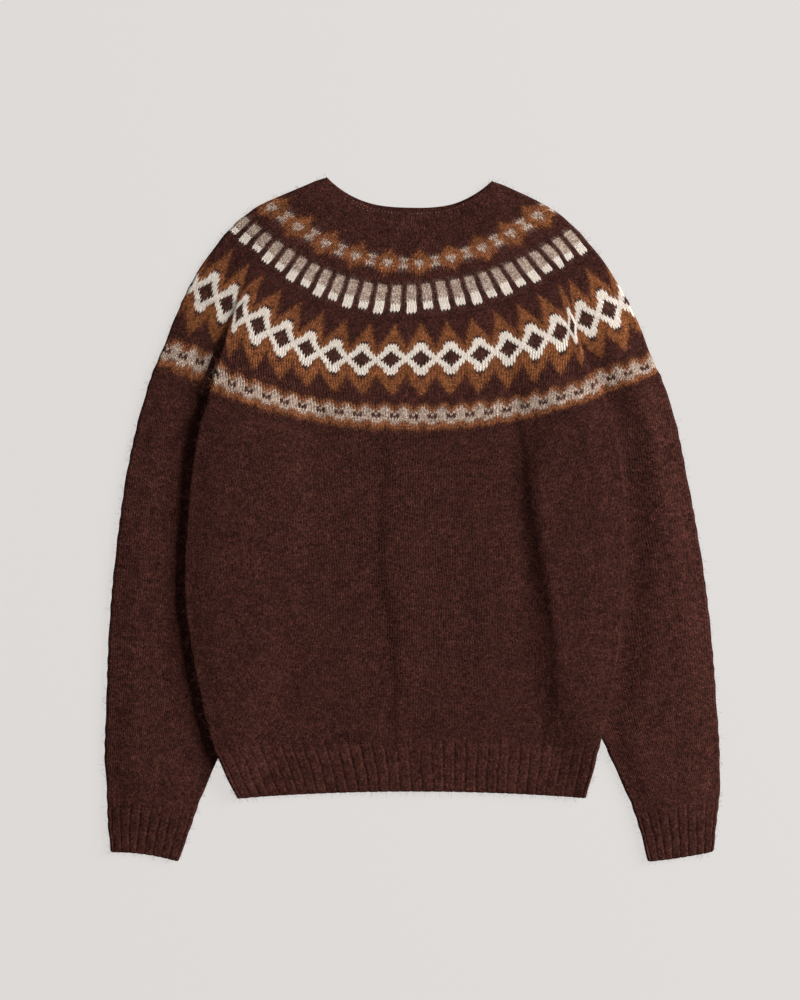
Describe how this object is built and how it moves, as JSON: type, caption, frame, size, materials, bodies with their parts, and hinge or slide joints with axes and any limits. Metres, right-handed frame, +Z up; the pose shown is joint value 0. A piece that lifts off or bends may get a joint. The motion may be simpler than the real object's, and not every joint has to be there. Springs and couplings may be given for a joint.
{
  "type": "fair isle jumper laid flat",
  "caption": "crew-neck wool jumper with a round patterned yoke, ribbed hem and ribbed cuffs, laid flat with its arms down",
  "frame": {"origin": "on the surface that the jumper lies on, under the middle of its outline", "axes": "+Y towards the neck, +X to the right seen from above, +Z up out of the front"},
  "size_m": [0.6775, 0.7525, 0.0141],
  "materials": {
    "brown_wool": "brushed knitted wool, matt",
    "patterned_wool": "brushed colourwork in brown, ochre, grey and cream wool, matt"
  },
  "bodies": {
    "root": {"neckband": "brown_wool", "yoke": "patterned_wool", "body": "brown_wool", "hem_rib": "brown_wool", "sleeve_right": "brown_wool", "sleeve_left": "brown_wool", "cuff_right": "brown_wool", "cuff_left": "brown_wool"}
  },
  "joints": []
}
